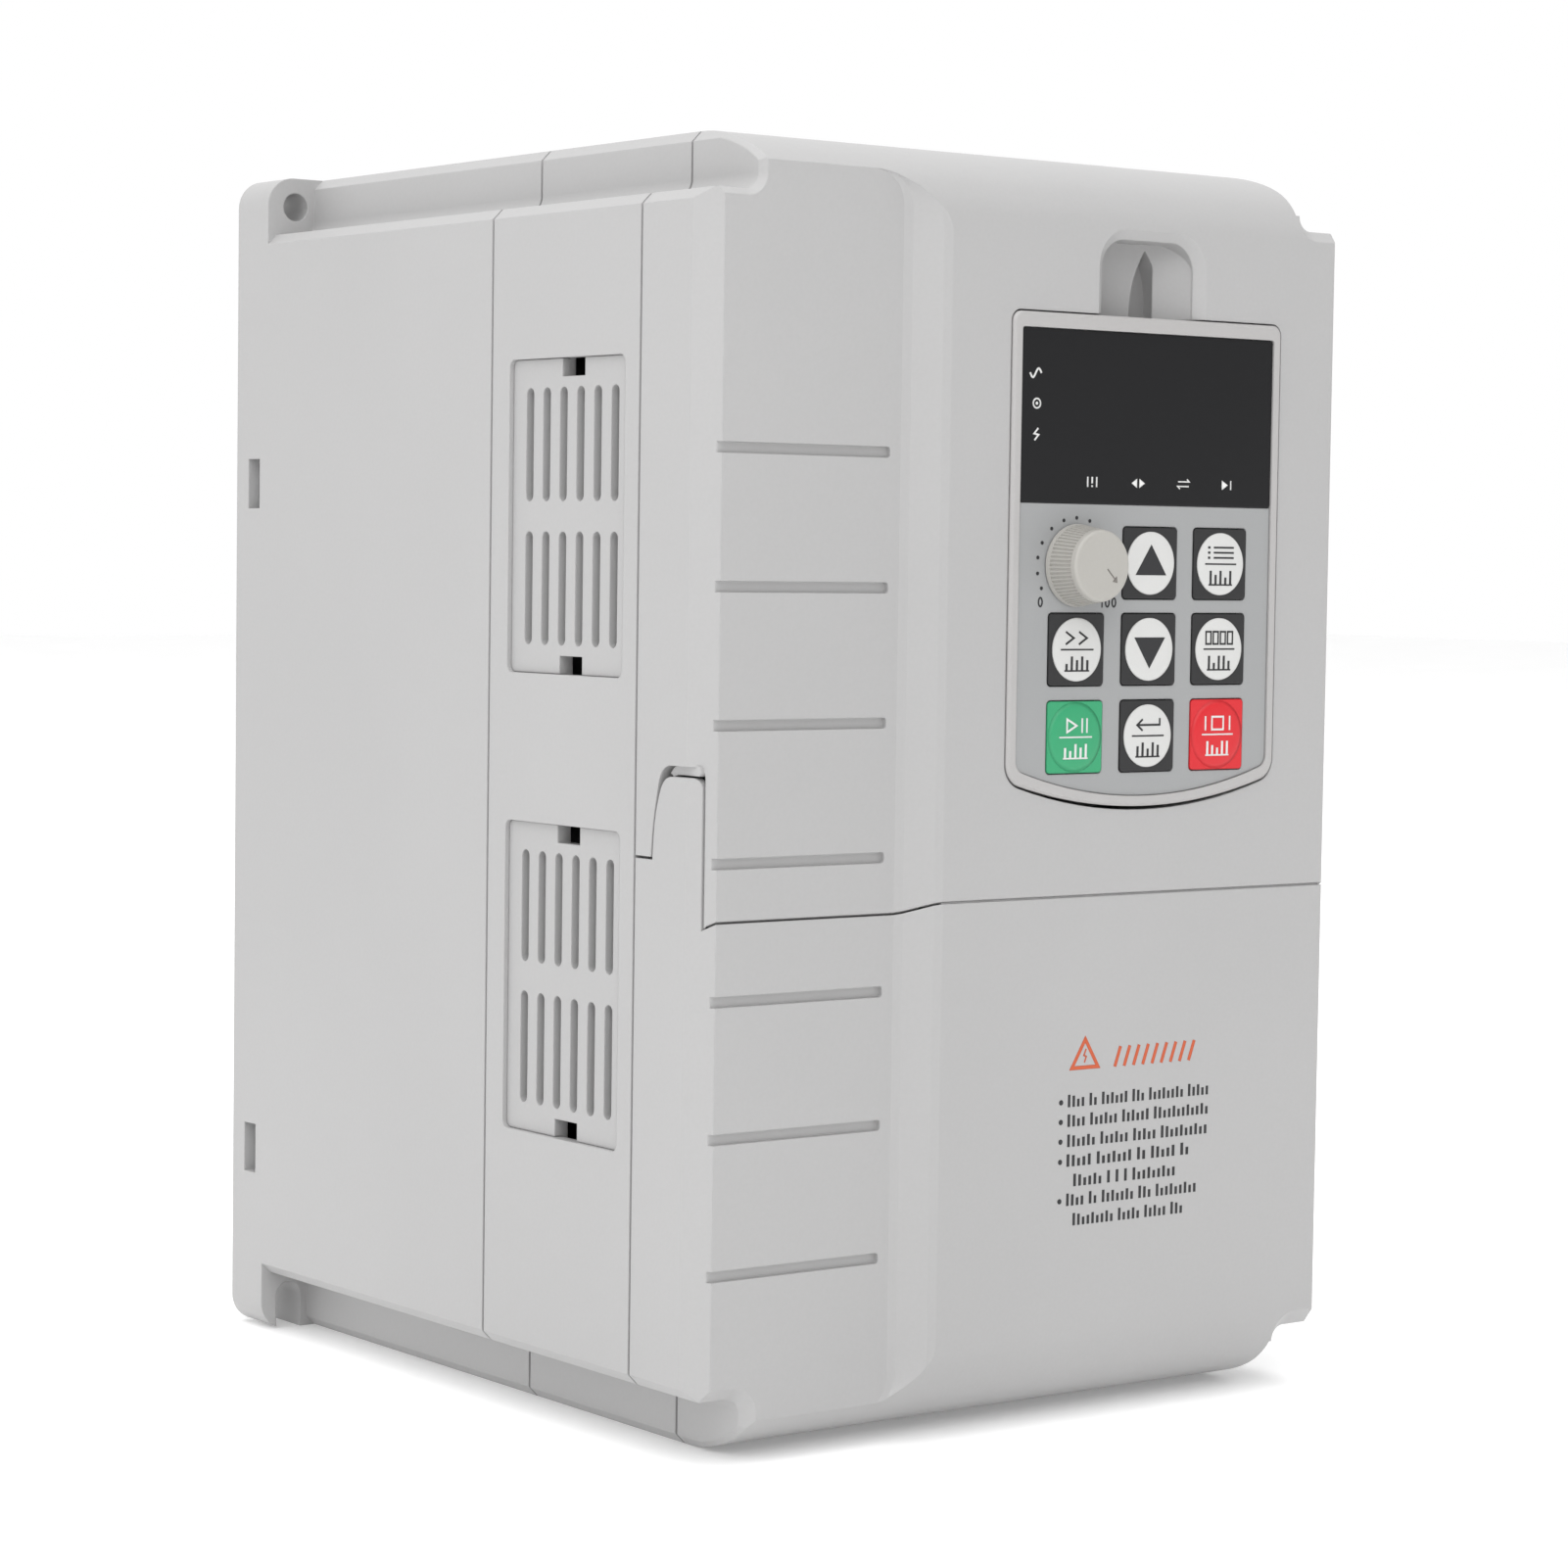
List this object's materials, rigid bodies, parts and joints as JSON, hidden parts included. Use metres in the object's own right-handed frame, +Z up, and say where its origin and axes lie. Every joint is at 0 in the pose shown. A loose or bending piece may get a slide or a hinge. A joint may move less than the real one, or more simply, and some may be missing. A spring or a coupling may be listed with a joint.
{
  "type": "variable frequency drive",
  "caption": "Wall-mounted variable frequency motor drive: layered vented casing, slide-off terminal cover, plug-in keypad with keys and speed knob, finned heatsink and fans.",
  "frame": {"origin": "centre of the bottom of the bounding box, level with the foot of the casing", "axes": "+X to the operator's right, +Y from the keypad towards the wall, +Z up"},
  "size_m": [0.153, 0.1846, 0.244],
  "materials": {
    "casing": "fine-textured light grey moulded plastic",
    "louvre": "light grey moulded plastic",
    "keypad_shell": "satin light grey plastic",
    "overlay": "silver grey printed membrane",
    "window": "smoked glossy window",
    "display": "dark digit module",
    "key_black": "black membrane key",
    "key_green": "green membrane key",
    "key_red": "red membrane key",
    "knob": "light grey ribbed knob",
    "pot": "black potentiometer",
    "aluminium": "extruded aluminium",
    "plate_steel": "zinc-plated sheet steel",
    "screw_steel": "zinc-plated steel",
    "brass": "nickel-free brass",
    "black_plastic": "black moulded plastic",
    "board_green": "green circuit board",
    "can": "sleeved capacitor can",
    "module": "moulded power module",
    "core": "laminated core with winding",
    "terminal": "black terminal strip",
    "signal_terminal": "green terminal strip",
    "rubber": "black rubber",
    "chip": "chip package"
  },
  "bodies": {
    "drive": {"rear_housing": "casing", "middle_housing": "casing", "upper_cover": "casing", "louvre_left_low": "louvre", "louvre_left_high": "louvre", "louvre_right_low": "louvre", "louvre_right_high": "louvre", "heatsink": "aluminium", "back_plate": "plate_steel", "fan_cover": "casing", "fan_frame_left": "black_plastic", "fan_frame_right": "black_plastic", "power_module": "module", "rectifier": "module", "power_board": "board_green", "board_standoffs": "brass", "board_screws": "screw_steel", "bus_capacitors": "can", "transformer": "core", "charge_relay": "black_plastic", "current_sensors": "black_plastic", "main_terminals": "terminal", "terminal_clamps": "screw_steel", "terminal_screws": "screw_steel", "earth_bar": "plate_steel", "earth_screws": "screw_steel", "cable_plate": "casing", "cable_grommets": "rubber", "control_tray": "black_plastic", "control_board": "board_green", "control_standoffs": "brass", "control_screws": "screw_steel", "processor": "chip", "control_terminals": "signal_terminal", "keypad_socket": "black_plastic"},
    "terminal_cover": {"terminal_cover": "casing"},
    "fan_rotor_left": {"fan_rotor_left": "black_plastic"},
    "fan_rotor_right": {"fan_rotor_right": "black_plastic"},
    "keypad": {"keypad_case": "keypad_shell", "keypad_overlay": "overlay", "display_window": "window", "display_module": "display", "keypad_board": "board_green", "key_switches": "screw_steel", "speed_pot": "pot", "keypad_back": "keypad_shell", "keypad_plug": "black_plastic"},
    "speed_knob": {"speed_knob": "knob"},
    "key_up": {"key_up": "key_black"},
    "key_program": {"key_program": "key_black"},
    "key_jog": {"key_jog": "key_black"},
    "key_down": {"key_down": "key_black"},
    "key_display": {"key_display": "key_black"},
    "key_run": {"key_run": "key_green"},
    "key_enter": {"key_enter": "key_black"},
    "key_stop": {"key_stop": "key_red"}
  },
  "joints": [
    {"name": "terminal_cover_slide", "type": "slide", "parent": "drive", "child": "terminal_cover", "axis": [0, 0, -1], "range_m": [0, 0.027]},
    {"name": "keypad_pull", "type": "slide", "parent": "drive", "child": "keypad", "axis": [0, -1, 0], "range_m": [0, 0.02]},
    {"name": "speed_knob_turn", "type": "hinge", "parent": "keypad", "child": "speed_knob", "pos_m": [0.0066, -0.088, 0.1652], "axis": [0, -1, 0], "range_deg": [0, 270]},
    {"name": "fan_left_spin", "type": "hinge", "parent": "drive", "child": "fan_rotor_left", "pos_m": [-0.031, 0.058, 0.22], "axis": [0, 0, 1], "continuous": true},
    {"name": "fan_right_spin", "type": "hinge", "parent": "drive", "child": "fan_rotor_right", "pos_m": [0.031, 0.058, 0.22], "axis": [0, 0, 1], "continuous": true},
    {"name": "key_up_press", "type": "slide", "parent": "keypad", "child": "key_up", "axis": [0, 1, 0], "range_m": [0, 0.0006], "stiffness_N_per_m": 1500, "springref_m": -0.0002},
    {"name": "key_program_press", "type": "slide", "parent": "keypad", "child": "key_program", "axis": [0, 1, 0], "range_m": [0, 0.0006], "stiffness_N_per_m": 1500, "springref_m": -0.0002},
    {"name": "key_jog_press", "type": "slide", "parent": "keypad", "child": "key_jog", "axis": [0, 1, 0], "range_m": [0, 0.0006], "stiffness_N_per_m": 1500, "springref_m": -0.0002},
    {"name": "key_down_press", "type": "slide", "parent": "keypad", "child": "key_down", "axis": [0, 1, 0], "range_m": [0, 0.0006], "stiffness_N_per_m": 1500, "springref_m": -0.0002},
    {"name": "key_display_press", "type": "slide", "parent": "keypad", "child": "key_display", "axis": [0, 1, 0], "range_m": [0, 0.0006], "stiffness_N_per_m": 1500, "springref_m": -0.0002},
    {"name": "key_run_press", "type": "slide", "parent": "keypad", "child": "key_run", "axis": [0, 1, 0], "range_m": [0, 0.0006], "stiffness_N_per_m": 1500, "springref_m": -0.0002},
    {"name": "key_enter_press", "type": "slide", "parent": "keypad", "child": "key_enter", "axis": [0, 1, 0], "range_m": [0, 0.0006], "stiffness_N_per_m": 1500, "springref_m": -0.0002},
    {"name": "key_stop_press", "type": "slide", "parent": "keypad", "child": "key_stop", "axis": [0, 1, 0], "range_m": [0, 0.0006], "stiffness_N_per_m": 1500, "springref_m": -0.0002}
  ]
}
